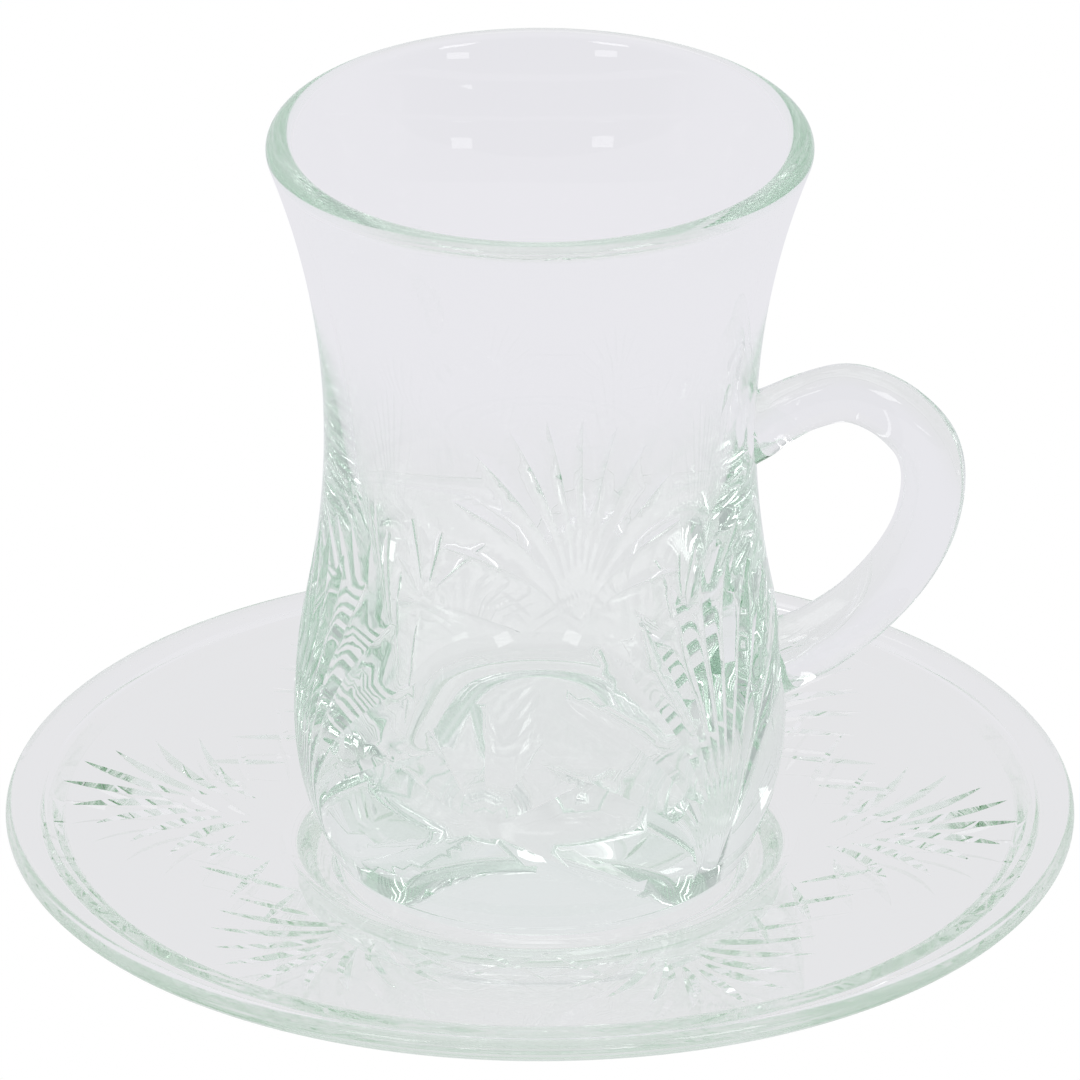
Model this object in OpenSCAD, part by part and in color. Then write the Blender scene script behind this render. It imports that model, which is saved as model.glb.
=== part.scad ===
/* [Saucer] */
// Radius of the saucer over its rim
saucer_r = 56; // [54:0.5:62]
// Height of the rim above the table
saucer_h = 11; // [10:0.5:14]
// Thickness of the sloping plate
plate_t = 3; // [2.5:0.1:4]
// Radius of the rounded edge
rim_round_r = 1.5; // [1.2:0.1:1.8]
// Width of the plain band round the rim
band_w = 4.3; // [3.5:0.1:6]
// Dip of the band towards the dish
band_dip = 0.1; // [0.1:0.1:0.5]
// Drop from the rim to the edge of the well
dish_drop = 3.5; // [2.5:0.1:4]
// Radius of the edge of the well
well_edge_r = 27; // [26:0.25:29]
// Drop from the rim to the floor of the well
well_drop = 6; // [5.5:0.1:6.5]
// Play round the foot of the glass on the floor of the well
well_play = 1.8; // [1:0.1:2.4]
// Outer radius of the foot ring underneath
ring_r = 25.4; // [24.6:0.1:27]
// Width of the foot ring where it stands
ring_w = 3.6; // [3:0.1:4.5]
// Height of the hollow inside the foot ring
ring_hollow_h = 1.7; // [1:0.1:2]
// Sideways lean of the foot ring's two walls
ring_draft = 0.8; // [0.4:0.1:1]

/* [Saucer cutting] */
// Number of palm fans round the saucer
saucer_fans = 6; // [4:1:6]
// Turn of the first fan from the handle side, in degrees
saucer_fan_turn = -5.4; // [-30:0.1:30]
// Width of a blade at its middle
saucer_blade_w = 1.4; // [1.2:0.1:2.2]
// Depth of a blade at its middle
saucer_blade_depth = 0.35; // [0.3:0.05:0.8]
// Length of the crossed cuts between two fans
cross_l = 10; // [7:0.5:11]
// Width of a crossed cut
cross_w = 1.2; // [0.8:0.1:1.6]
// Depth of a crossed cut
cross_depth = 0.3; // [0.2:0.05:0.6]
// Distance between two crossed cuts that run side by side
cross_gap = 3; // [2:0.1:3.5]
// Distance from the edge of the well to the middle of the crossed cuts
cross_out = 7.5; // [6.5:0.25:9]
// Lean of the crossed cuts from the line to the rim, in degrees
cross_lean = 40; // [30:1:50]

/* [Glass] */
// Height of the glass
glass_h = 82; // [78:0.5:90]
// Radius of the foot, before its edge is bevelled
foot_r = 21; // [20:0.1:22]
// Bevel on the foot's edge
foot_bevel = 0.6; // [0.4:0.1:1]
// Width of the ring that the glass stands on
foot_ring_w = 3.4; // [2.5:0.1:5]
// Height of the hollow under the foot
foot_hollow_h = 0.8; // [0.5:0.1:1.5]
// Radius of the belly
belly_r = 25.7; // [25:0.1:26.5]
// Height of the widest part of the belly
belly_h = 16; // [14:0.5:18]
// Radius of the waist
waist_r = 22.4; // [21.8:0.1:23]
// Height of the waist
waist_h = 48.5; // [46:0.5:51]
// Radius over the rim
mouth_r = 28.2; // [27.5:0.1:29]
// Radius of the rounded lip
lip_r = 1.45; // [1.2:0.05:1.6]
// Thickness of the wall at the waist
waist_wall = 2.6; // [2.2:0.1:3]
// Taper of the inside below the waist, in degrees
inside_taper = 4; // [3:0.5:5]
// Thickness of the base
base_t = 8.7; // [7:0.1:10]
// Radius of the flat floor inside
floor_r = 10; // [8:0.5:12]
// Height at which the rounded bottom inside runs into the tapered wall
bowl_top_h = 21; // [19:0.5:24]

/* [Glass cutting] */
// Number of palm fans round the glass
glass_fans = 3; // [2:1:3]
// Turn of the first fan from the handle side, in degrees
glass_fan_turn = 77; // [70:1:84]
// Height of the root of a fan above the foot
fan_root_h = 5; // [4.5:0.5:7]
// Height of a fan from its root to its tip
fan_h = 33; // [26:0.5:36]
// Width of a blade's middle, on the line between its ends
glass_blade_w = 1; // [0.6:0.1:1.2]
// Depth of a blade's middle below the line between its ends
glass_blade_depth = 0.5; // [0.3:0.05:0.7]
// Height of the middle of a star of leaves, between two fans
star_h = 14.7; // [13.5:0.1:15.5]
// Distance from the middle of a star to where its leaves start
leaf_in = 2; // [1.5:0.1:2.5]
// Length of the longest leaf of a star
leaf_l = 9.5; // [7:0.5:10]
// Width of a leaf's middle, on the line between its ends
leaf_w = 0.8; // [0.6:0.1:1]
// Depth of a leaf's middle below the line between its ends
leaf_depth = 0.35; // [0.3:0.05:0.5]

/* [Handle] */
// Thickness of the handle
handle_d = 6.6; // [5.5:0.1:7.5]
// Reach of the handle from the middle of the glass
handle_reach = 44.2; // [42.5:0.1:47]
// Height above the foot at which the handle reaches furthest
handle_out_h = 43.2; // [42:0.2:45]
// Radius of the tight outer bend, as a share of how far the middle of the handle stands off the waist
outer_bend_share = 0.514; // [0.49:0.002:0.56]
// Radius of the bend from the top of the handle to its upper seat, as a share of the same length
upper_bend_share = 0.676; // [0.62:0.002:0.74]
// Radius of the long bend down to the lower seat, as a share of the same length
lower_bend_share = 1.08; // [1.02:0.01:1.14]
// How far a seat of the handle stands out of the glass
seat_out = 1; // [0.6:0.1:1.4]
// How much wider a seat is than the handle, all round
seat_rim = 0.8; // [0.7:0.1:1.2]

/* [Hidden] */
$fn = 96;
// Every cut runs past the surface that it opens by this much
overrun = 0.2;
glass_colour = [0.84, 0.93, 0.9, 0.6];

// Saucer: heights above the table, and the slope of the dish
well_z = saucer_h - well_drop;
dish_z = saucer_h - dish_drop;
band_z = saucer_h - band_dip;
band_r = saucer_r - band_w;
rim_c = [saucer_r - rim_round_r, saucer_h - rim_round_r];
well_floor_r = foot_r + well_play;
dish_w = band_r - well_edge_r;
dish_lean = atan((band_z - dish_z) / dish_w);
ring_top_r = ring_r + ring_draft;

// Blades of a saucer fan, from its middle line outwards: where each starts and ends across the
// dish, and the turn of both ends from the middle line in degrees
saucer_start_shares = [0.575, 0.505, 0.405, 0.335, 0.2];
saucer_tip_shares = [0.98, 0.89, 0.785, 0.655, 0.51];
saucer_start_turns = [0, 2, 4, 5, 6];
saucer_tip_turns = [0, 6, 10.5, 15.8, 20];

// Outside of the glass: three arcs and the lip, each running on into the next without a corner.
// The arc of the waist ends on the lip, and the two arcs of the belly meet at its widest part
lip_c = [mouth_r - lip_r, glass_h - lip_r];
flare = lip_c - [waist_r, waist_h];
waist_arc_r = (flare * flare - lip_r * lip_r) / (2 * (lip_r + flare.x));
waist_c = [waist_r + waist_arc_r, waist_h];
swell = [belly_r - waist_r, waist_h - belly_h];
two_arcs_r = swell * swell / (2 * swell.x);
upper_arc_r = two_arcs_r - waist_arc_r;
upper_c = [belly_r - upper_arc_r, belly_h];
shoulder_h = belly_h + swell.y * upper_arc_r / two_arcs_r;
tuck = [belly_r - foot_r, belly_h];
lower_arc_r = tuck * tuck / (2 * tuck.x);
lower_c = [belly_r - lower_arc_r, belly_h];
foot_flat_r = foot_r - foot_bevel;
stand_r = foot_flat_r - foot_ring_w;

// Inside of the glass: flat floor, rounded bottom, tapered wall and a flare that ends on the lip.
// The centres of both arcs lie square to the tapered wall
inner_waist = [waist_r - waist_wall, waist_h];
square_to_wall = [cos(inside_taper), -sin(inside_taper)];
mouth = lip_c - inner_waist;
mouth_arc_r = (mouth * mouth - lip_r * lip_r) / (2 * (mouth * square_to_wall - lip_r));
mouth_c = inner_waist + mouth_arc_r * square_to_wall;
bowl_top = [inner_waist.x - (waist_h - bowl_top_h) * tan(inside_taper), bowl_top_h];
bottom = [floor_r, base_t] - bowl_top;
bowl_arc_r = -(bottom * bottom) / (2 * (bottom * square_to_wall));
bowl_c = bowl_top - bowl_arc_r * square_to_wall;
bowl_turn = atan2(base_t - bowl_c.y, floor_r - bowl_c.x);
lip_in_turn = atan2(lip_c.y - mouth_c.y, lip_c.x - mouth_c.x);
lip_out_turn = atan2(waist_c.y - lip_c.y, waist_c.x - lip_c.x);
lip_in = on_arc(lip_c, lip_r, lip_in_turn);
lip_out = on_arc(lip_c, lip_r, lip_out_turn);

// The turned outline follows these arcs in short straight steps
outer_steps = 20;
lip_steps = 10;
flare_steps = 9;
bowl_steps = 6;
foot_bevel_h = 2 * foot_bevel;
outer_points = [
    for (k = [0 : outer_steps])
        let (h = foot_bevel_h + (lip_out.y - foot_bevel_h) * k / outer_steps)
            [outer_r(h), h]
];
lip_points = [
    for (k = [1 : lip_steps])
        on_arc(lip_c, lip_r, lip_out_turn + (lip_in_turn - lip_out_turn) * k / lip_steps)
];
flare_points = [
    for (k = [1 : flare_steps])
        let (h = lip_in.y + (waist_h - lip_in.y) * k / flare_steps)
            [mouth_c.x - half_chord(mouth_arc_r, h - mouth_c.y), h]
];
bowl_points = [
    for (k = [0 : bowl_steps])
        on_arc(bowl_c, bowl_arc_r, -inside_taper + (bowl_turn + inside_taper) * k / bowl_steps)
];

// Blades of a glass fan, in the same way: shares of the fan's height, and turns round the glass
glass_start_shares = [0.42, 0.36, 0.3, 0.22, 0.13];
glass_tip_shares = [1, 0.93, 0.83, 0.66, 0.44];
glass_start_turns = [0, 5, 9, 12, 14];
glass_tip_turns = [0, 10, 20, 30, 38];

// Leaves of a star between two fans: where each points, counted from level in degrees, and its
// length as a share of the longest
leaf_turns = [-66, -27, 27, 58, 90, 122, 153, 207, 246];
leaf_shares = [0.55, 1, 0.8, 0.9, 1, 0.9, 0.8, 1, 0.55];

// Handle: three bends that run on into each other at its top and where it reaches furthest, and
// end flat on their seats. The seats' heights follow from the bends
handle_r = handle_d / 2;
handle_off = handle_reach - handle_r - waist_r;
outer_bend_r = outer_bend_share * handle_off;
upper_bend_r = upper_bend_share * handle_off;
lower_bend_r = lower_bend_share * handle_off;
outer_bend_c = [handle_reach - handle_r - outer_bend_r, handle_out_h];
upper_bend_c = [outer_bend_c.x, handle_out_h + outer_bend_r - upper_bend_r];
lower_bend_c = [handle_reach - handle_r - lower_bend_r, handle_out_h];
upper_seat_r = outer_r(handle_out_h) + seat_out;
upper_seat_h = upper_bend_c.y + half_chord(upper_bend_r, upper_bend_c.x - upper_seat_r);
lower_seat_r = outer_r(handle_out_h - lower_bend_r) + seat_out;
lower_seat_h = lower_bend_c.y - half_chord(lower_bend_r, lower_seat_r - lower_bend_c.x);

// Point on an arc about c, at a turn counted from the line straight out
function on_arc(c, r, turn) = c + r * [cos(turn), sin(turn)];

// Height of the dish's surface, and of the plate's underside, at a distance from the middle
function dish_at(r) = dish_z + (r - well_edge_r) * tan(dish_lean);
function under_at(r) = dish_at(r) - plate_t;

// Half width of an arc of radius r at a height h from its middle
function half_chord(r, h) = sqrt(r * r - h * h);

// Radius of the outside of the glass at a height above its foot
function outer_r(h) = h < belly_h
    ? lower_c.x + half_chord(lower_arc_r, h - belly_h)
    : h < shoulder_h
        ? upper_c.x + half_chord(upper_arc_r, h - belly_h)
        : waist_c.x - half_chord(waist_arc_r, h - waist_h);

// A mitre cut along X with its open side up: l long and w wide at z = 0, and d deep at its middle.
// The tool has four flat flanks, which go on up to the height above
module mitre(l, w, d, above) {
    grow = 1 + above / d;
    polyhedron(
        points = [
            [0, 0, -d],
            [grow * l / 2, 0, above],
            [0, grow * w / 2, above],
            [-grow * l / 2, 0, above],
            [0, -grow * w / 2, above]
        ],
        faces = [[0, 1, 2], [0, 2, 3], [0, 3, 4], [0, 4, 1], [4, 3, 2, 1]]
    );
}

// A mitre between two points, each given as radius, turn and height: cut from above
module mitre_down(from, to, w, d) {
    half_turn = (to.y - from.y) / 2;
    run = [(to.x - from.x) * cos(half_turn), (to.x + from.x) * sin(half_turn), to.z - from.z];
    rotate([0, 0, (from.y + to.y) / 2])
        translate([
            (from.x + to.x) / 2 * cos(half_turn),
            (to.x - from.x) / 2 * sin(half_turn),
            (from.z + to.z) / 2
        ])
            rotate([0, -asin(run.z / norm(run)), atan2(run.y, run.x)])
                mitre(norm(run), w, d, overrun);
}

// The same between two points on the side of the glass: cut from outside
module mitre_in(from, to, w, d) {
    half_turn = (to.y - from.y) / 2;
    run = [(to.x - from.x) * cos(half_turn), (to.x + from.x) * sin(half_turn), to.z - from.z];
    middle = [
        (from.x + to.x) / 2 * cos(half_turn),
        (to.x - from.x) / 2 * sin(half_turn),
        (from.z + to.z) / 2
    ];
    bulge = max(0, outer_r(middle.z) - middle.x);
    rotate([0, 0, (from.y + to.y) / 2])
        translate(middle)
            rotate([atan2(-run.y, run.z), 0, 0])
                rotate([0, 90 + asin(run.x / norm(run)), 0])
                    mitre(norm(run), w, d, bulge + overrun);
}

// Turned outline of the saucer, without its rounded edge
module plate_outline() {
    polygon([
        [0, ring_hollow_h],
        [ring_r - ring_w - ring_draft, ring_hollow_h],
        [ring_r - ring_w, 0],
        [ring_r, 0],
        [ring_top_r, under_at(ring_top_r)],
        [band_r, under_at(band_r)],
        [rim_c.x, saucer_h - 2 * rim_round_r],
        [rim_c.x, saucer_h],
        [band_r, band_z],
        [well_edge_r, dish_z],
        [well_floor_r, well_z],
        [0, well_z]
    ]);
}

module saucer_blank() {
    rotate_extrude()
        union() {
            plate_outline();
            intersection() {
                translate(rim_c)
                    circle(r = rim_round_r);
                translate([rim_c.x, 0])
                    square([rim_round_r + overrun, saucer_h + overrun]);
            }
        }
}

// One fan of blades, the blades outside the middle one in pairs
module saucer_fan() {
    for (k = [0 : len(saucer_tip_shares) - 1], side = k == 0 ? [1] : [-1, 1]) {
        start_r = well_edge_r + saucer_start_shares[k] * dish_w;
        tip_r = well_edge_r + saucer_tip_shares[k] * dish_w;
        mitre_down(
            [start_r, side * saucer_start_turns[k], dish_at(start_r)],
            [tip_r, side * saucer_tip_turns[k], dish_at(tip_r)],
            saucer_blade_w, saucer_blade_depth
        );
    }
}

// Two pairs of crossed cuts, which leave a small diamond between two fans
module crossed_cuts() {
    cross_r = well_edge_r + cross_out;
    translate([cross_r, 0, dish_at(cross_r)])
        rotate([0, -dish_lean, 0])
            for (lean = [-cross_lean, cross_lean], side = [-1, 1])
                rotate([0, 0, lean])
                    translate([0, side * cross_gap / 2, 0])
                        mitre(cross_l, cross_w, cross_depth, overrun);
}

module saucer() {
    color(glass_colour)
        difference() {
            saucer_blank();
            for (k = [0 : saucer_fans - 1])
                rotate([0, 0, saucer_fan_turn + 360 / saucer_fans * k]) {
                    saucer_fan();
                    rotate([0, 0, 180 / saucer_fans])
                        crossed_cuts();
                }
        }
}

// The glass as it is turned, before it is cut: outside up to the lip, inside down to the floor
module glass_blank() {
    rotate_extrude()
        polygon(concat(
            [[0, foot_hollow_h], [stand_r - foot_hollow_h, foot_hollow_h], [stand_r, 0], [foot_flat_r, 0]],
            outer_points,
            lip_points,
            flare_points,
            bowl_points,
            [[0, base_t]]
        ));
}

module glass_fan() {
    for (k = [0 : len(glass_tip_shares) - 1], side = k == 0 ? [1] : [-1, 1]) {
        start_h = fan_root_h + glass_start_shares[k] * fan_h;
        tip_h = fan_root_h + glass_tip_shares[k] * fan_h;
        mitre_in(
            [outer_r(start_h), side * glass_start_turns[k], start_h],
            [outer_r(tip_h), side * glass_tip_turns[k], tip_h],
            glass_blade_w, glass_blade_depth
        );
    }
}

// Point on the side of the glass, at a distance and a direction from the middle of a star
function star_point(away, turn) =
    let (h = star_h + away * sin(turn))
        [outer_r(h), away * cos(turn) / belly_r * 180 / PI, h];

// One star of leaves
module glass_star() {
    for (k = [0 : len(leaf_turns) - 1])
        mitre_in(
            star_point(leaf_in, leaf_turns[k]),
            star_point(leaf_in + leaf_l * leaf_shares[k], leaf_turns[k]),
            leaf_w, leaf_depth
        );
}

// Flat-faced seat for one end of the handle, rooted in the wall
module seat(seat_r, seat_h) {
    root_r = seat_r - seat_out - waist_wall / 2;
    translate([root_r, 0, seat_h])
        rotate([0, 90, 0])
            cylinder(r = handle_r + seat_rim, h = seat_r - root_r);
}

module glass_body() {
    color(glass_colour)
        translate([0, 0, well_z])
            union() {
                difference() {
                    glass_blank();
                    for (k = [0 : glass_fans - 1])
                        rotate([0, 0, glass_fan_turn + 360 / glass_fans * k]) {
                            glass_fan();
                            rotate([0, 0, 180 / glass_fans])
                                glass_star();
                        }
                }
                seat(upper_seat_r, upper_seat_h);
                seat(lower_seat_r, lower_seat_h);
            }
}

// A bend of the handle about a centre in the handle's own plane
module bend(centre, bend_r, first_turn, last_turn) {
    translate([centre.x, 0, centre.y])
        rotate([90, 0, 0])
            rotate_extrude(angle = last_turn - first_turn, start = first_turn)
                translate([bend_r, 0])
                    circle(r = handle_r);
}

// Everything that lies closer to the middle of the glass than a seat does, over a span of heights
module inside_of(seat_r, low, high) {
    translate([0, -handle_d, low])
        cube([seat_r, 2 * handle_d, high - low]);
}

module glass_handle() {
    color(glass_colour)
        translate([0, 0, well_z])
            difference() {
                union() {
                    bend(outer_bend_c, outer_bend_r, 0, 90);
                    bend(upper_bend_c, upper_bend_r, 90, 150);
                    bend(lower_bend_c, lower_bend_r, -90, 0);
                }
                inside_of(upper_seat_r, handle_out_h, glass_h);
                inside_of(lower_seat_r, 0, handle_out_h);
            }
}

saucer();
glass_body();
glass_handle();
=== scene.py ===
# %% [markdown]
# # A tea glass on its saucer
# The object is two loose things: a waisted tea glass with a handle, and the saucer that it stands in.
# Both are pressed soda-lime glass with palm fans cut into them. Everything here is built round the
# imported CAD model, in metres, in the same frame: the table top is z = 0 and the handle points to +X.

# %% Load the frame and keep its size
import math

import bmesh
import bpy
import numpy as np
from mathutils import Matrix, Vector, kdtree
from mathutils.geometry import delaunay_2d_cdt


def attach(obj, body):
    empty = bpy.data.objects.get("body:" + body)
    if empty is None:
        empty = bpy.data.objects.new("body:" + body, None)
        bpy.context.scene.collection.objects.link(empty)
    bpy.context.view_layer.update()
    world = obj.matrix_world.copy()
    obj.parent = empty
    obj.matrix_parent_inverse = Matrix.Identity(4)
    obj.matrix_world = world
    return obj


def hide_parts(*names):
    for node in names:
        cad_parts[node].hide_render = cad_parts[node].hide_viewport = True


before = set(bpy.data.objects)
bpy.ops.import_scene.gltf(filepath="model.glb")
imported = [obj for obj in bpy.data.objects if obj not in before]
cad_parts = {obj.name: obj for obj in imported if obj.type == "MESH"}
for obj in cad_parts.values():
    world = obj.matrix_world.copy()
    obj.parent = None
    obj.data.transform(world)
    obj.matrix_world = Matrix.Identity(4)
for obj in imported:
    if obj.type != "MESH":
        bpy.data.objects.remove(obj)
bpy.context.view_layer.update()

MM = 0.001

# %% [markdown]
# ## The camera
# The photograph was taken from straight in front, from about 27 degrees above the table and from far
# away, so that the ellipses hardly change from top to bottom. A long lens at 1.6 m gives the same look.
# The camera is aimed at a point on the axis about halfway up the glass, which keeps its shift at zero
# and makes it look down by a degree less.

# %% Camera
CAMERA_AT = Vector((0, -1428.8, 731.1)) * MM
CAMERA_AIM = Vector((0, 0, 40.8)) * MM
LENS_MM, SENSOR_MM = 508.8, 36
# In metres, which takes in the whole floor
SEES_TO = 20
camera_data = bpy.data.cameras.new("camera")
camera_data.lens = LENS_MM
camera_data.sensor_width = SENSOR_MM
camera_data.clip_end = SEES_TO
camera = bpy.data.objects.new("camera", camera_data)
camera.location = CAMERA_AT
camera.rotation_euler = (CAMERA_AIM - CAMERA_AT).to_track_quat("-Z", "Y").to_euler()
bpy.context.scene.collection.objects.link(camera)
bpy.context.scene.camera = camera
print("camera looks down", round(90 - math.degrees(camera.rotation_euler.x), 2), "degrees")

# %% [markdown]
# ## Turned shapes
# The saucer and the bowl of the glass are round all the way, as the mould that pressed them was turned
# on a lathe. The straight way to make them is the same: draw half of the section, and spin it. The
# corners of a pressed piece are never sharp, so a helper rounds each corner of the drawn section first.

# %% Round the corners of a section
def rounded(corners, steps=6):
    """(radius, height, corner radius) rows, as a chain of points with an arc at each corner."""
    chain = []
    for k, (r, h, fillet) in enumerate(corners):
        here = Vector((r, h))
        if not fillet:
            chain.append(here)
            continue
        back = (Vector(corners[k - 1][:2]) - here).normalized()
        on = (Vector(corners[k + 1][:2]) - here).normalized()
        half = back.angle(on) / 2
        centre = here + (back + on).normalized() * fillet / math.sin(half)
        first = here + back * fillet / math.tan(half) - centre
        last = here + on * fillet / math.tan(half) - centre
        sweep = first.angle(last)
        for s in range(steps + 1):
            near, far = math.sin((1 - s / steps) * sweep), math.sin(s / steps * sweep)
            chain.append(centre + (first * near + last * far) / math.sin(sweep))
    return chain


# %% Spin a section
SEGMENTS = 192
# Faces where two pieces are melted into one carry this mark, and light goes straight on through them
FUSED = "fused"


def new_shell():
    bm = bmesh.new()
    bm.faces.layers.float.new(FUSED)
    return bm


def spin_chain(bm, chain):
    """Spins a chain of (radius, height) points in millimetres about the axis."""
    verts = [bm.verts.new((r * MM, 0, h * MM)) for r, h in chain]
    edges = [bm.edges.new(pair) for pair in zip(verts, verts[1:])]
    bmesh.ops.spin(bm, geom=verts + edges, axis=(0, 0, 1), cent=(0, 0, 0), dvec=(0, 0, 0),
                   angle=2 * math.pi, steps=SEGMENTS, use_merge=True, use_duplicate=False)


# %% [markdown]
# ## Cuts
# A palm fan is made of mitre cuts: a V-edged wheel is let into the glass and drawn along a line, so that
# each cut is a spindle, pointed at both ends, widest and deepest in the middle, and a little curved.
# Boolean cuts would leave slivers that show as scratches in clear glass, and a displaced grid would
# leave saw-tooth edges. So the cut band is laid out flat, the outline and the bottom line of each
# cut are given to Blender's triangulator as lines that it has to keep, and each point is then let in
# to its depth. Every flank of every cut is a clean facet, as on the real piece.

# %% One cut
CUT_STEPS = 30
# Below 1, a cut stays wide for longer before it runs out to its two points
FULLNESS = 0.8
# A cut has no width at its points, and this keeps a division by it from failing
TINY = 1e-9


def spindle(line, width, depth, late=1.0):
    """A cut along a flat line, pointed at both ends: the line, its half widths and its depths.
    Above 1, late moves the widest place of the cut nearer to its tip."""
    share = np.sin(np.pi * np.linspace(0, 1, len(line)) ** late) ** FULLNESS
    return np.array(line, float), share * width / 2, share * depth


def outline_of(cut):
    """The closed outline of a cut, and its bottom line."""
    line, half, _ = cut
    run = np.gradient(line, axis=0)
    side = np.stack([-run[:, 1], run[:, 0]], 1) / np.linalg.norm(run, axis=1)[:, None]
    left, right = line + side * half[:, None], line - side * half[:, None]
    return np.concatenate([left, right[-2:0:-1]]), line


def depth_at(points, cuts):
    """How deep the deepest cut is at each flat point."""
    deepest = np.zeros(len(points))
    for line, half, deep in cuts:
        reach = np.ptp(line, axis=0).sum() + half.max()
        near = np.linalg.norm(points - line[len(line) // 2], axis=1) < reach
        p, best = points[near], np.zeros(near.sum())
        for k in range(len(line) - 1):
            run = line[k + 1] - line[k]
            t = np.clip((p - line[k]) @ run / (run @ run), 0, 1)
            off = np.linalg.norm(p - line[k] - t[:, None] * run, axis=1)
            wide = np.maximum(half[k] + t * (half[k + 1] - half[k]), TINY)
            bottom = deep[k] + t * (deep[k + 1] - deep[k])
            best = np.maximum(best, bottom * np.clip(1 - off / wide, 0, 1))
        deepest[near] = np.maximum(deepest[near], best)
    return deepest


# %% Points for a cut band
def circle_points(radius, count, turn=0):
    angles = np.arange(count) * 2 * np.pi / count + turn
    return np.stack([np.cos(angles), np.sin(angles)], 1) * radius


def lies_in(point, outline):
    """True for a flat point inside a convex outline."""
    run, off = np.roll(outline, -1, axis=0) - outline, point - outline
    side = run[:, 0] * off[:, 1] - run[:, 1] * off[:, 0]
    return bool((side > 0).all() or (side < 0).all())


# %% A cut band
# Shares of the step between the points that fill the band: how near one may come to a kept point,
# and how far apart their rows are
KEEP_OFF, ROW_GAP = 0.45, 0.9
# Each row is turned on by this much, in radians, so that its points don't line up with the last row's
ROW_TURN = 0.5
# The ring's inner circle is a chain of straight edges, and a facet's middle may lie a hair inside it
HAIR = 0.99995
# Points nearer to each other than this are taken as one
SAME_POINT = 1e-4


def cut_band(bm, inside, outside, step, cuts, place, stretch=lambda radius: 1.0, joints=()):
    """Fills the flat ring between two radii with triangles that follow the cuts and the joints'
    outlines, and bends it into place."""
    fused = bm.faces.layers.float[FUSED]
    points, edges = [], []

    def keep(chain, closed):
        first, count = len(points), len(chain)
        points.extend(chain)
        edges.extend((first + k, first + (k + 1) % count) for k in range(count if closed else count - 1))

    for radius in (inside, outside):
        keep(circle_points(radius, SEGMENTS), True)
    for cut in cuts:
        rim, bottom = outline_of(cut)
        keep(rim, True)
        keep(bottom, False)
    for joint in joints:
        keep(joint, True)
    tree = kdtree.KDTree(len(points))
    for k, p in enumerate(points):
        tree.insert((p[0], p[1], 0), k)
    tree.balance()
    radius, row = inside + step, 0
    while radius < outside - step / 2:
        size = step * stretch(radius)
        for p in circle_points(radius, max(6, round(2 * np.pi * radius / size)), row * ROW_TURN):
            if tree.find((p[0], p[1], 0))[2] > size * KEEP_OFF:
                points.append(p)
        radius, row = radius + size * ROW_GAP, row + 1
    flat, _, faces, *_ = delaunay_2d_cdt([Vector(p) for p in points], edges, [], 0, SAME_POINT, False)
    flat = np.array([tuple(p) for p in flat])
    depths = depth_at(flat, cuts)
    verts = {}
    for face in faces:
        middle = flat[list(face)].mean(0)
        if inside * HAIR < np.linalg.norm(middle) < outside:
            corners = []
            for k in face:
                if k not in verts:
                    verts[k] = bm.verts.new(Vector(place(flat[k], depths[k])) * MM)
                corners.append(verts[k])
            bm.faces.new(corners)[fused] = float(any(lies_in(middle, joint) for joint in joints))
    print("cut band:", len(cuts), "cuts,", len(faces), "facets")


# %% [markdown]
# ## From mesh code to a piece
# The turned parts and the cut band meet on the same circle of points, so merging doubles closes the
# shell. Normals are worked out again after that. Facets of a cut keep their edges, and all the rest is
# smooth, which an angle limit can tell apart. Each piece has its own limit: every edge of the saucer's
# cuts is crisp, those of the glass are crisp along the bottom and soft at the brim, and the handle has
# an edge only at its ends.

# %% Finish a shell
WELD_MM, SLIVER_MM = 0.003, 0.0005


def finish_piece(bm, name, sharp_degrees):
    """Closes and smooths a shell, and makes it an object with its place in its mesh."""
    bmesh.ops.remove_doubles(bm, verts=bm.verts, dist=WELD_MM * MM)
    bmesh.ops.dissolve_degenerate(bm, dist=SLIVER_MM * MM, edges=bm.edges)
    bmesh.ops.recalc_face_normals(bm, faces=bm.faces)
    for face in bm.faces:
        face.smooth = True
    for edge in bm.edges:
        edge.smooth = len(edge.link_faces) == 2 and edge.calc_face_angle(0) < math.radians(sharp_degrees)
    loose = sum(not edge.is_manifold for edge in bm.edges)
    mesh = bpy.data.meshes.new(name)
    bm.to_mesh(mesh)
    bm.free()
    piece = bpy.data.objects.new(name, mesh)
    bpy.context.scene.collection.objects.link(piece)
    print(name, len(mesh.polygons), "faces,", loose, "open edges, size in mm:",
          [round(s / MM, 2) for s in piece.dimensions])
    return piece


# %% [markdown]
# ## The saucer
# A shallow dish with a flat plain band round the rim, a sloping cut dish, and a well that holds the foot
# of the glass. It stands on a foot ring. The well's two corners are soft, and its upper one throws the
# bright ring that shows on both sides of the glass.

# %% Saucer section and its cut dish
DISH_IN, DISH_OUT = 28.2, 50.6
WELL_EDGE = (27, 7.5)
# The dish ends in a low step up to the plain band, which is the thin line that runs inside the rim
BAND, STEP = (51.9, 10.88), (51.1, 10.52)
DISH_SLOPE = (STEP[1] - WELL_EDGE[1]) / (STEP[0] - WELL_EDGE[0])


def dish_height(r):
    return WELL_EDGE[1] + (r - WELL_EDGE[0]) * DISH_SLOPE


def on_dish(p, depth):
    """Bends a point of the flat ring on to the dish, let in to a depth."""
    return (p[0], p[1], dish_height(math.hypot(*p)) - depth)


def flat_polar(r, a):
    return (r * math.cos(a), r * math.sin(a))


print("the dish climbs", round(math.degrees(math.atan(DISH_SLOPE)), 1), "degrees")

# %% Fans of the saucer
SAUCER_FANS = 6
SAUCER_TURN = -5.4
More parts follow.
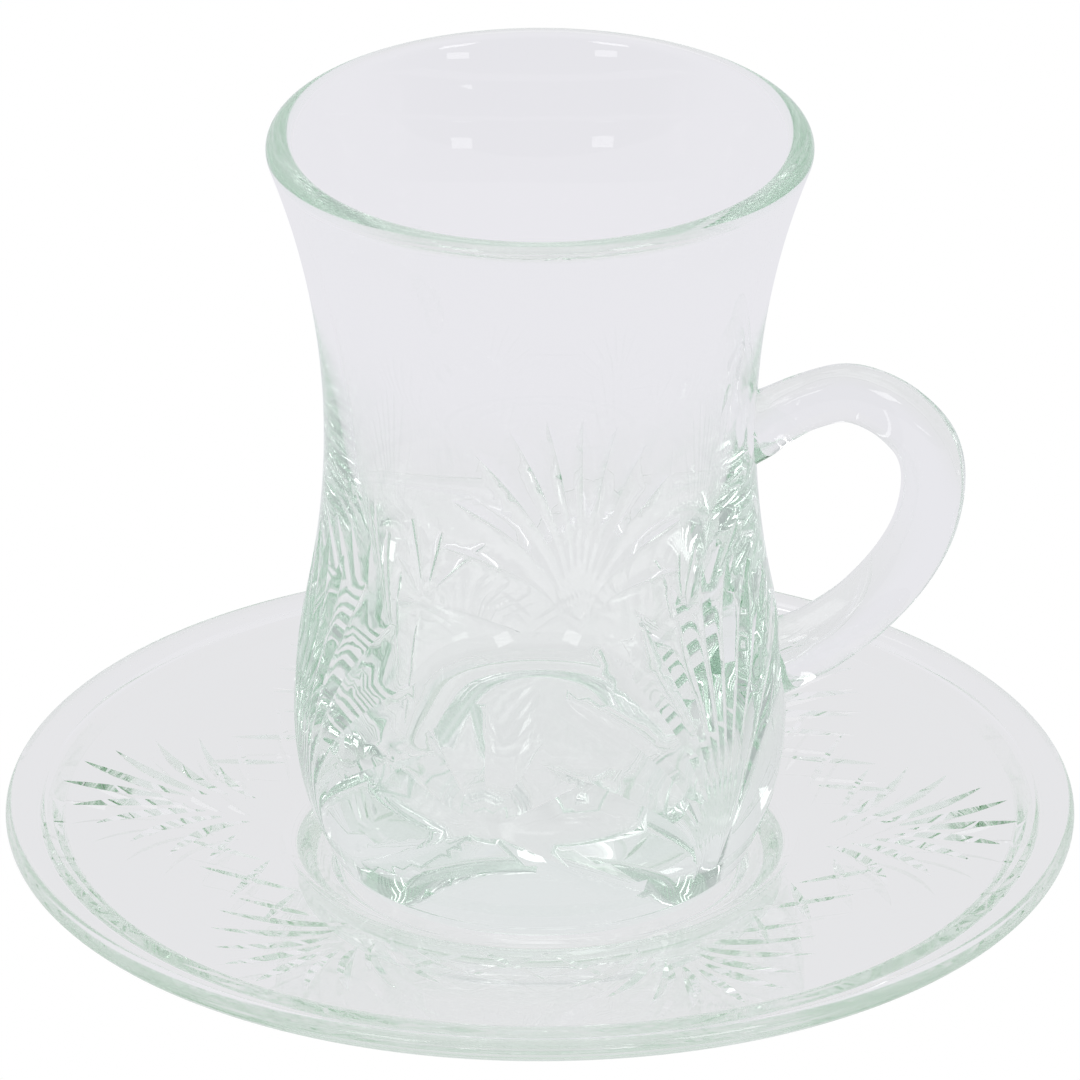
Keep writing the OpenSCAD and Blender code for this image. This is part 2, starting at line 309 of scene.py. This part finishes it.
# Each row: where a blade starts and ends, as (radius, turn from the fan's middle) pairs
SAUCER_BLADES = [
    ((38.6, 0), (50.3, 0)),
    ((37.2, 1.6), (49.0, 6)),
    ((35.0, 3.0), (46.6, 10.5)),
    ((33.0, 4.4), (43.6, 15.8)),
    ((30.4, 5.2), (40.2, 20.5)),
]
# A blade's width in mm, its depth as a share of that, and how late it swings out, where 1 is evenly
BLADE_WIDE, BLADE_DEPTH, BLADE_SWING = 1.5, 0.25, 1.35
# Crossed cuts between two fans: where they cross, how far apart, their lean, width and depth, and the
# length of each
CROSS_AT, CROSS_GAP, CROSS_LEAN, CROSS_WIDE, CROSS_DEPTH = 33.2, 7.4, 45, 1.1, 0.22
CROSS_LONG = {-1: 9, 0: 11.5, 1: 9}


def saucer_blade(start, tip):
    """A blade between two (radius, turn) ends, which swings out as it nears its tip."""
    share = np.linspace(0, 1, CUT_STEPS + 1)
    out = start[0] + (tip[0] - start[0]) * share
    turn = np.radians(start[1] + (tip[1] - start[1]) * share**BLADE_SWING)
    return spindle([flat_polar(r, a) for r, a in zip(out, turn)], BLADE_WIDE, BLADE_WIDE * BLADE_DEPTH)


# %% Lay out the cuts of the saucer
saucer_cuts = []
for fan in range(SAUCER_FANS):
    middle = SAUCER_TURN + fan * 360 / SAUCER_FANS
    for k, (start, tip) in enumerate(SAUCER_BLADES):
        for side in (1,) if k == 0 else (-1, 1):
            saucer_cuts.append(saucer_blade((start[0], middle + side * start[1]),
                                            (tip[0], middle + side * tip[1])))
    gap = math.radians(middle + 180 / SAUCER_FANS)
    out, along = np.array(flat_polar(1, gap)), np.array(flat_polar(1, gap + math.pi / 2))
    for lean in (-CROSS_LEAN, CROSS_LEAN):
        run = np.array(flat_polar(1, gap + math.radians(lean)))
        for side, length in CROSS_LONG.items():
            centre = out * CROSS_AT + along * side * CROSS_GAP
            line = [centre + run * length * (s - 0.5) for s in np.linspace(0, 1, CUT_STEPS + 1)]
            saucer_cuts.append(spindle(line, CROSS_WIDE, CROSS_WIDE * CROSS_DEPTH))
print(len(saucer_cuts), "cuts on the saucer")

# %% Build the saucer
# Rows of radius, height and corner radius
WELL = [(0, 5, 0), (12, 5, 0), (22.8, 5, 2.2), (*WELL_EDGE, 0.9), (DISH_IN, dish_height(DISH_IN), 0)]
RIM = [(DISH_OUT, dish_height(DISH_OUT), 0), (*STEP, 0.4), (*BAND, 0.4), (54.3, 11, 0),
       (56, 11, 1.15), (56, 8.6, 1.15)]
UNDERSIDE = [(52.6, 8.6, 2), (50, 7.2, 2), (26.2, 4.4, 1.2)]
SAUCER_FOOT = [(25.4, 0, 0.6), (21.8, 0, 0.6), (21, 1.7, 0.7), (14, 1.7, 0), (0, 1.7, 0)]
DISH_GRID = 1.5
bm = new_shell()
spin_chain(bm, rounded(WELL))
spin_chain(bm, rounded(RIM + UNDERSIDE + SAUCER_FOOT, steps=8))
cut_band(bm, DISH_IN, DISH_OUT, DISH_GRID, saucer_cuts, on_dish)
saucer = finish_piece(bm, "saucer_pressed", sharp_degrees=12)

# %% [markdown]
# ## The glass
# The outside swells at the belly, draws in at the waist and flares to the lip, in arcs that run on into
# one another. The inside is what the plunger left: a straight taper that opens towards the rim, with a
# round bottom, so the wall is thin at the waist and thick and green at the belly.

# %% Outline of the glass
# The foot stands just clear of the well's floor
FOOT_AT = 5.03
FOOT_R, BELLY, WAIST, MOUTH_R, GLASS_H, LIP_R = 21, (25.7, 16), (22.4, 48.5), 28.2, 82, 1.45
WAIST_WALL, TAPER = 2.6, math.radians(4)
# The flat floor inside ends in a soft corner, and the bowl runs from there into the tapered wall
FLOOR_R, BASE, BOWL_TOP = 10, 8.7, 21
lip = Vector((MOUTH_R - LIP_R, GLASS_H - LIP_R))
flare = lip - Vector(WAIST)
waist_arc = (flare.length_squared - LIP_R**2) / (2 * (LIP_R + flare.x))
swell = Vector((BELLY[0] - WAIST[0], WAIST[1] - BELLY[1]))
two_arcs = swell.length_squared / (2 * swell.x)
belly_arc = two_arcs - waist_arc
shoulder = BELLY[1] + swell.y * belly_arc / two_arcs
tuck_arc = ((BELLY[0] - FOOT_R) ** 2 + BELLY[1] ** 2) / (2 * (BELLY[0] - FOOT_R))


def outer_radius(h):
    """Radius of the outside of the glass at a height above its foot."""
    if h < BELLY[1]:
        return BELLY[0] - tuck_arc + math.sqrt(tuck_arc**2 - (h - BELLY[1]) ** 2)
    if h < shoulder:
        return BELLY[0] - belly_arc + math.sqrt(belly_arc**2 - (h - BELLY[1]) ** 2)
    return WAIST[0] + waist_arc - math.sqrt(waist_arc**2 - (h - WAIST[1]) ** 2)


print("arcs in mm: foot", round(tuck_arc, 1), "belly", round(belly_arc, 1), "waist", round(waist_arc, 1))

# %% Inside of the glass and its lip
inner_waist = Vector((WAIST[0] - WAIST_WALL, WAIST[1]))
toward = Vector((math.cos(TAPER), -math.sin(TAPER)))
mouth = lip - inner_waist
mouth_arc = (mouth.length_squared - LIP_R**2) / (2 * (mouth.dot(toward) - LIP_R))
mouth_centre = inner_waist + mouth_arc * toward
bowl_top = Vector((inner_waist.x - (WAIST[1] - BOWL_TOP) * math.tan(TAPER), BOWL_TOP))
floor_edge = Vector((FLOOR_R, BASE))
bowl_arc = -(floor_edge - bowl_top).length_squared / (2 * (floor_edge - bowl_top).dot(toward))
bowl_centre = bowl_top - bowl_arc * toward
bowl_low = math.atan2(floor_edge.y - bowl_centre.y, floor_edge.x - bowl_centre.x)


def arc(centre, radius, first, last, steps):
    turns = np.linspace(first, last, steps + 1)
    return [centre + radius * Vector((math.cos(a), math.sin(a))) for a in turns]


waist_centre = Vector((WAIST[0] + waist_arc, WAIST[1]))
lip_out = (waist_centre - lip).angle_signed(Vector((1, 0)))
lip_in = (lip - mouth_centre).angle_signed(Vector((1, 0)))
print("lip turns", round(math.degrees(lip_out)), round(math.degrees(lip_in)))
print("outer radii", [round(outer_radius(h), 2) for h in (0, 8, 16, 24, 33.5, 48.5, 65.6, 75.7)])

# %% [markdown]
# ## Fans on the glass
# Three tall fans climb the belly. A cylinder unrolls to a flat strip, but a strip has two loose ends,
# so the band is laid out as a ring instead: height becomes distance from the middle, on a scale that
# grows with it, which keeps every angle true. A cut that is straight and even on the ring is so on the
# glass.

# %% Lay the side of the glass out flat, and bend it back
FLAT_R = 24.0


def flat_radius(h):
    return FLAT_R * math.exp(h / FLAT_R)


def flat_side(h, a):
    return flat_polar(flat_radius(h), a)


def on_side(p, depth):
    """Bends a point of the flat ring back on to the side of the glass, let in to a depth."""
    h = FLAT_R * math.log(math.hypot(*p) / FLAT_R)
    r = (outer_radius(h) - depth) / math.hypot(*p)
    return (p[0] * r, p[1] * r, h + FOOT_AT)


# %% [markdown]
# ## The handle
# The handle is a rod of glass that is bent while it is soft and set on the finished bowl. It spreads
# where it touches. A ring of points is drawn along the rod's line, and the last ring at each end is
# slid onto the bowl. The two are melted together there, and no surface is left between them: the end
# goes on a little way into the wall, and both pieces are marked as fused inside the joint's outline.

# %% Line of the handle
# Rows of reach, height above the foot and thickness, from the upper joint round to the lower one
HANDLE_LINE = [
    (22.3, 48.9, 7.2), (24.4, 50.1, 6.4), (27.6, 51.7, 6.0), (31.6, 52.7, 6.1), (35.2, 51.6, 6.3),
    (38.2, 49.3, 6.5), (40.2, 46.4, 6.7), (40.8, 42.5, 6.7), (39.9, 37.5, 6.7), (37.4, 32.6, 6.8),
    (33.6, 28.1, 6.9), (29.6, 24.9, 7.2), (27.3, 23.6, 7.4), (25.2, 22.6, 7.9),
]
HANDLE_SIDES, HANDLE_STEPS, SUNK = 40, 8, 0.6
# An end ring is slid by a share of what it still lacks, often enough to arrive
SLIDES, SLIDE_SHARE = 25, 0.7


def smooth_rows(rows, steps):
    """A smooth chain through rows of numbers, each stretch cut into steps."""
    p = np.array([np.multiply(rows[0], 2) - rows[1], *rows, np.multiply(rows[-1], 2) - rows[-2]], float)
    t = (np.arange(steps) / steps)[:, None]
    parts = [0.5 * (2 * p[k] + (p[k + 1] - p[k - 1]) * t
                    + (2 * p[k - 1] - 5 * p[k] + 4 * p[k + 1] - p[k + 2]) * t**2
                    + (3 * p[k] - p[k - 1] - 3 * p[k + 1] + p[k + 2]) * t**3) for k in range(1, len(p) - 2)]
    return np.concatenate([*parts, p[-2:-1]])


def slide_to_bowl(verts, along, sunk):
    """Slides an end ring along the rod until it lies at a depth under the surface of the bowl."""
    for v in verts:
        for _ in range(SLIDES):
            r = math.hypot(v.co.x, v.co.y) / MM
            v.co += along * (r - outer_radius(v.co.z / MM - FOOT_AT) + sunk) * MM * SLIDE_SHARE


def melt_on(bm, ring, along):
    """Ends the rod on the bowl, and gives the joint's outline on the side of the glass laid flat."""
    fused = bm.faces.layers.float[FUSED]
    slide_to_bowl(ring, along, 0)
    end = [edge for edge in bm.edges if edge.is_boundary and edge.verts[0] in ring]
    made = bmesh.ops.extrude_edge_only(bm, edges=end)["geom"]
    slide_to_bowl([g for g in made if isinstance(g, bmesh.types.BMVert)], along, SUNK)
    hidden = [g for g in made if isinstance(g, bmesh.types.BMFace)]
    open_edges = [g for g in made if isinstance(g, bmesh.types.BMEdge) and g.is_boundary]
    for face in hidden + bmesh.ops.holes_fill(bm, edges=open_edges, sides=0)["faces"]:
        face[fused] = 1.0
    outline = np.array([flat_side(v.co.z / MM - FOOT_AT, math.atan2(v.co.y, v.co.x)) for v in ring])
    off = outline - outline.mean(0)
    return outline[np.argsort(np.arctan2(off[:, 1], off[:, 0]))]


# %% Draw the handle
rows = smooth_rows(HANDLE_LINE, HANDLE_STEPS)
runs = np.gradient(rows[:, :2], axis=0)
frames = []
for (x, h, thick), (dx, dh) in zip(rows, runs):
    tangent = Vector((dx, 0, dh)).normalized()
    side = Vector((0, 1, 0))
    turn = Matrix((side, tangent.cross(side), tangent)).transposed().to_4x4()
    at = Matrix.Translation(Vector((x, 0, h + FOOT_AT)) * MM)
    frames.append(at @ turn @ Matrix.Scale(thick * MM / 2, 4))
bm = new_shell()
ring = bmesh.ops.create_circle(bm, cap_ends=False, segments=HANDLE_SIDES, radius=1)["verts"]
bmesh.ops.transform(bm, matrix=frames[0], verts=ring)
rings = [ring]
edges = list(bm.edges)
for before, after in zip(frames, frames[1:]):
    new = bmesh.ops.extrude_edge_only(bm, edges=edges)["geom"]
    ring = [g for g in new if isinstance(g, bmesh.types.BMVert)]
    edges = [g for g in new if isinstance(g, bmesh.types.BMEdge) and all(v in ring for v in g.verts)]
    bmesh.ops.transform(bm, matrix=after @ before.inverted(), verts=ring)
    rings.append(ring)
joints = [melt_on(bm, rings[0], Vector((-runs[0][0], 0, -runs[0][1])).normalized()),
          melt_on(bm, rings[-1], Vector((runs[-1][0], 0, runs[-1][1])).normalized())]
handle = finish_piece(bm, "handle_drawn", sharp_degrees=60)

# %% [markdown]
# Each fan is given by where its blades start and end. The lowest blades run nearly level, and the
# middle one climbs highest.

# %% Fans of the glass
GLASS_FANS, GLASS_TURN = 3, 77
# Each row: where a blade starts and ends, as (height, turn) pairs, and its width
GLASS_BLADES = [
    ((9, 0), (40, 0), 2.3),
    ((8, 1.2), (39.5, 11), 2.4),
    ((7, 2.2), (38, 22), 2.5),
    ((6, 3), (35, 32.5), 2.5),
    ((5, 3.6), (29.5, 41.5), 2.4),
    ((4.2, 4), (22.5, 47.5), 2.2),
]
# Depth of a blade as a share of its width, and how that grows from its lower end to its tip
GLASS_DEPTH, DEPTH_LOW, DEPTH_GAIN = 0.22, 0.5, 0.65


def side_cut(start, tip, width, rise=0.75, swing=1.6, late=1.7):
    """A blade on the side of the glass, which climbs first and then leans over."""
    share = np.linspace(0, 1, CUT_STEPS + 1)
    high = start[0] + (tip[0] - start[0]) * share**rise
    turn = np.radians(start[1] + (tip[1] - start[1]) * share**swing)
    line = [flat_side(h, a) for h, a in zip(high, turn)]
    line, half, deep = spindle(line, width, width * GLASS_DEPTH, late)
    return line, half * np.exp(high / FLAT_R), deep * (DEPTH_LOW + DEPTH_GAIN * share)


def glass_fan(middle):
    """The blades of one fan, in pairs to both sides of its middle one."""
    return [side_cut((start[0], middle + side * start[1]), (tip[0], middle + side * tip[1]), width)
            for k, (start, tip, width) in enumerate(GLASS_BLADES)
            for side in ((1,) if k == 0 else (-1, 1))]


# %% [markdown]
# Between two fans there is a wheel-cut star of long thin leaves. Each leaf starts a little way out from
# the star's middle, so that the leaves don't run into one another. The handle is set on plain glass,
# so a leaf or a blade that would come near one of its joints is left out.

# %% Stars between the fans
STAR_H = 14.7
# Each row: direction of a leaf from level, in degrees, where it starts and ends in mm, and its width
STAR_LEAVES = [(-27, 1.5, 20, 1.8), (27, 1.5, 15, 1.7), (58, 1.5, 12, 1.4), (90, 1.5, 14, 1.3),
               (207, 1.5, 20, 1.8), (153, 1.5, 15, 1.7), (122, 1.5, 12, 1.4)]


def glass_star(gap):
    """The leaves of one star, which are straight and even."""
    leaves = []
    for lean, first, last, width in STAR_LEAVES:
        up = math.sin(math.radians(lean))
        over = math.cos(math.radians(lean)) * math.degrees(1 / BELLY[0])
        leaves.append(side_cut((STAR_H + up * first, gap + over * first),
                               (STAR_H + up * last, gap + over * last), width, rise=1, swing=1, late=1))
    return leaves


# %% Lay out the cuts of the glass
# A joint's outline, grown by this much, is the plain glass round it
JOINT_CLEAR = 1.3


def clear_of(joint, cut):
    """True for a cut that keeps outside the plain glass round a joint."""
    centre = joint.mean(0)
    reach = np.linalg.norm(joint - centre, axis=1).max()
    return np.linalg.norm(cut[0] - centre, axis=1).min() > JOINT_CLEAR * reach


glass_cuts = []
for fan in range(GLASS_FANS):
    middle = GLASS_TURN + fan * 360 / GLASS_FANS
    glass_cuts += glass_fan(middle) + glass_star(middle + 180 / GLASS_FANS)
glass_cuts = [cut for cut in glass_cuts if all(clear_of(joint, cut) for joint in joints)]
print(len(glass_cuts), "cuts on the side of the glass")

# %% Section of the glass
BAND_LOW, BAND_HIGH = 2.0, 56.0
WALL_POINTS, LIP_STEPS, BOWL_STEPS = 30, 24, 14
# Rows of radius, height and corner radius
FOOT_RING = [(0, 0.8, 0), (8, 0.8, 0), (16.2, 0.8, 1.2), (17, 0, 0.3), (20.6, 0, 0.8),
             (outer_radius(1.6), 1.6, 0)]
low = rounded(FOOT_RING) + [Vector((outer_radius(BAND_LOW), BAND_LOW))]
lip_start = lip.y + LIP_R * math.sin(lip_out)
high = [Vector((outer_radius(h), h)) for h in np.linspace(BAND_HIGH, lip_start, WALL_POINTS)]
high += arc(lip, LIP_R, lip_out, lip_in, LIP_STEPS)[1:]
high += [Vector((mouth_centre.x - math.sqrt(mouth_arc**2 - (h - mouth_centre.y) ** 2), h))
         for h in np.linspace(high[-1].y, WAIST[1], WALL_POINTS)][1:]
high += arc(bowl_centre, bowl_arc, -TAPER, bowl_low, BOWL_STEPS)[:-1]
high += rounded([(*high[-1], 0), (FLOOR_R, BASE, 0.8), (8, BASE, 0)], steps=3)[1:]
high += [Vector((4, BASE)), Vector((0, BASE))]
print("section of the glass:", len(low), "points below the cuts and", len(high), "above and inside")

# %% Build the glass
SIDE_GRID = 1.2
lift = Vector((0, FOOT_AT))
bm = new_shell()
spin_chain(bm, [p + lift for p in low])
spin_chain(bm, [p + lift for p in high])
cut_band(bm, flat_radius(BAND_LOW), flat_radius(BAND_HIGH), SIDE_GRID, glass_cuts, on_side,
         lambda radius: radius / FLAT_R, joints)
glass = finish_piece(bm, "glass_pressed", sharp_degrees=28)

# %% [markdown]
# ## Pressed glass
# Cheap soda-lime glass is clear in a thin wall and pale green through a thick one, from iron in the
# sand. So the colour isn't on the surface: it is an absorption that grows with the path of the light.
# The surface is fire-polished, which leaves it glossy, with a slow ripple that is 9 mm long and only a
# hundredth of a millimetre high. Shadow rays pass through with only a slight loss, as light does in a
# real glass that sends it on in bright lines, which a path tracer finds too rarely.

# %% Colour and node helpers
def linear(hex_colour):
    channels = [int(hex_colour[k:k + 2], 16) / 255 for k in (1, 3, 5)]
    return [c / 12.92 if c <= 0.04045 else ((c + 0.055) / 1.055) ** 2.4 for c in channels] + [1]


WHITE = linear("#ffffff")


def add(tree, kind, links=(), **settings):
    """Adds a node. Settings that are sockets are set as inputs, the others as properties."""
    node = tree.nodes.new(kind)
    for key, value in settings.items():
        if hasattr(node, key):
            setattr(node, key, value)
        else:
            node.inputs[key.replace("_", " ")].default_value = value
    for socket, source in links:
        tree.links.new(source, node.inputs[socket])
    return node


# %% Glass
GLASS_IOR = 1.52
RIPPLE_MM, RIPPLE_HIGH_MM = 9, 0.01
SHADOW_TINT = "#f0f6f3"


def pressed_glass(name, tint, density):
    """Clear glass with a tint that grows with depth, which lets light straight on where it is fused."""
    material = bpy.data.materials.new(name)
    material.use_nodes = True
    tree = material.node_tree
    tree.nodes.clear()
    place = add(tree, "ShaderNodeTexCoord").outputs["Object"]
    noise = add(tree, "ShaderNodeTexNoise", [("Vector", place)], Scale=1 / (RIPPLE_MM * MM), Detail=1.0)
    bump = add(tree, "ShaderNodeBump", [("Height", noise.outputs["Fac"])], Strength=1.0,
               Distance=RIPPLE_HIGH_MM * MM)
    glass = add(tree, "ShaderNodeBsdfPrincipled", [("Normal", bump.outputs["Normal"])],
                Base_Color=WHITE, Roughness=0.0, IOR=GLASS_IOR, Transmission_Weight=1.0)
    clear = add(tree, "ShaderNodeBsdfTransparent", Color=linear(SHADOW_TINT))
    rays = add(tree, "ShaderNodeLightPath")
    mixed = add(tree, "ShaderNodeMixShader", [(0, rays.outputs["Is Shadow Ray"]), (1, glass.outputs[0]),
                                              (2, clear.outputs[0])])
    melted = add(tree, "ShaderNodeAttribute", attribute_name=FUSED)
    open_way = add(tree, "ShaderNodeBsdfTransparent", Color=WHITE)
    mixed = add(tree, "ShaderNodeMixShader", [(0, melted.outputs["Fac"]), (1, mixed.outputs[0]),
                                              (2, open_way.outputs[0])])
    body = add(tree, "ShaderNodeVolumeAbsorption", Color=linear(tint), Density=density)
    add(tree, "ShaderNodeOutputMaterial", [("Surface", mixed.outputs[0]), ("Volume", body.outputs[0])])
    return material


# Each row: the piece, the CAD node that it stands for, its body and slot, and its glass
GLASSES = [
    (saucer, "saucer", "saucer", "saucer_glass", ("soda_lime_glass_saucer", "#e7f3e9", 15)),
    (glass, "glass_body", "tea_glass", "body_glass", ("soda_lime_glass_bowl", "#e7f4eb", 10.5)),
    (handle, "glass_handle", "tea_glass", "handle_glass", ("soda_lime_glass_handle", "#eef6f1", 20)),
]
for piece, node, body, slot, kind in GLASSES:
    piece.data.materials.append(pressed_glass(*kind))
    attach(piece, body)
    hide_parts(node)
    print(piece.name, "rides on", body)

# %% [markdown]
# ## The studio
# A plain floor, a pale room, three soft boxes and two strips. Clear glass has hardly a look of its own:
# it shows what stands round it, bent and mirrored, so the room is most of the work. The camera sees
# the floor and the room as clean white, as the photograph was cut out on white. The glass sees them
# pale grey, as the sheet that it was taken on. The floor is a little darker under the saucer, where
# less light gets to, and the room is darker on the camera's side, which gives the cuts their edges.
# The soft boxes show as bright bars inside the mouth, and the low strips add a few glints in front.

# %% From shade to light
def fade(tree, along, dark_at, pale_at, dark, pale):
    """A colour that goes from dark to pale while a socket's value goes from one number to another."""
    share = add(tree, "ShaderNodeMapRange", [("Value", along)], interpolation_type="SMOOTHSTEP",
                From_Min=dark_at, From_Max=pale_at)
    ramp = add(tree, "ShaderNodeValToRGB", [("Fac", share.outputs["Result"])])
    for stop, colour in zip(ramp.color_ramp.elements, (dark, pale)):
        stop.color = linear(colour)
    return ramp.outputs["Color"]


# %% Floor
# A disc, in metres, that lies a hair under the saucer's foot ring, so that they don't share a plane
FLOOR_REACH, FLOOR_DROP_MM = 4, 0.05
# Metres from the middle: the shade is full inside the first, and gone outside the second
SHADE_IN, SHADE_OUT = 0.045, 0.11
bm = bmesh.new()
bmesh.ops.create_circle(bm, cap_ends=True, segments=96, radius=FLOOR_REACH)
floor_mesh = bpy.data.meshes.new("floor")
bmesh.ops.translate(bm, verts=bm.verts, vec=(0, 0, -FLOOR_DROP_MM * MM))
bm.to_mesh(floor_mesh)
bm.free()
floor = bpy.data.objects.new("floor", floor_mesh)
bpy.context.scene.collection.objects.link(floor)
paper = bpy.data.materials.new("white_paper_floor")
paper.use_nodes = True
tree = paper.node_tree
tree.nodes.clear()
rays = add(tree, "ShaderNodeLightPath")
place = add(tree, "ShaderNodeTexCoord").outputs["Object"]
away = add(tree, "ShaderNodeVectorMath", [(0, place)], operation="LENGTH")
shade = fade(tree, away.outputs["Value"], SHADE_IN, SHADE_OUT, "#e5e5e7", "#eae9ee")
grey = add(tree, "ShaderNodeEmission", [("Color", shade)], Strength=1.0)
white = add(tree, "ShaderNodeEmission", Color=WHITE, Strength=1.0)
seen = add(tree, "ShaderNodeMixShader", [(0, rays.outputs["Is Camera Ray"]), (1, grey.outputs[0]),
                                         (2, white.outputs[0])])
add(tree, "ShaderNodeOutputMaterial", [("Surface", seen.outputs[0])])
floor_mesh.materials.append(paper)
print("floor", 2 * FLOOR_REACH, "m across")

# %% Room
# How far towards the back a direction points, from -1 to 1: the room is dark up to the first number,
# and pale from the second
DARK_UP_TO, PALE_FROM = -0.75, 0.1
world = bpy.data.worlds.new("pale_room")
bpy.context.scene.world = world
world.use_nodes = True
tree = world.node_tree
tree.nodes.clear()
rays = add(tree, "ShaderNodeLightPath")
heading = add(tree, "ShaderNodeTexCoord").outputs["Generated"]
way = add(tree, "ShaderNodeSeparateXYZ", [("Vector", heading)])
shade = fade(tree, way.outputs["Y"], DARK_UP_TO, PALE_FROM, "#bcbec1", "#ebeaee")
room = add(tree, "ShaderNodeBackground", [("Color", shade)], Strength=1.0)
white = add(tree, "ShaderNodeBackground", Color=WHITE, Strength=1.0)
seen = add(tree, "ShaderNodeMixShader", [(0, rays.outputs["Is Camera Ray"]), (1, room.outputs[0]),
                                         (2, white.outputs[0])])
add(tree, "ShaderNodeOutputWorld", [("Surface", seen.outputs[0])])
print("room is dark up to", DARK_UP_TO, "and pale from", PALE_FROM)

# %% Lights
LIGHT_AIM = Vector((0, 0, 0.04))
# Each row: name, place and size in metres, and watts
LIGHTS = [
    ("softbox_left", (-0.6, -0.82, 0.9), (0.34, 0.34), 1.0),
    ("softbox_right", (0.68, -0.75, 0.88), (0.34, 0.34), 1.0),
    ("softbox_top", (-0.1, 0.7, 1.1), (0.45, 0.45), 0.4),
    ("strip_left", (-0.556, -0.946, 0.225), (0.2, 0.05), 0.065),
    ("strip_right", (0.68, -0.865, 0.215), (0.2, 0.05), 0.065),
]
for name, at, size, watts in LIGHTS:
    lamp = bpy.data.lights.new(name, "AREA")
    lamp.shape, lamp.energy = "RECTANGLE", watts
    lamp.size, lamp.size_y = size
    light = bpy.data.objects.new(name, lamp)
    light.location = at
    light.rotation_euler = (LIGHT_AIM - Vector(at)).to_track_quat("-Z", "Y").to_euler()
    bpy.context.scene.collection.objects.link(light)
print(len(LIGHTS), "lights")

# %% How far light is followed
# A path through both walls, the base and the saucer crosses a dozen surfaces, but light that is led
# along the handle or the rim turns back hundreds of times, and would end as a black spot if cut short
LIGHT_STEPS = 400
scene = bpy.context.scene
scene.view_settings.view_transform = "Standard"
for kind in ("max", "glossy", "transmission", "transparent_max"):
    setattr(scene.cycles, kind + "_bounces", LIGHT_STEPS)
print("light is followed for", LIGHT_STEPS, "steps")
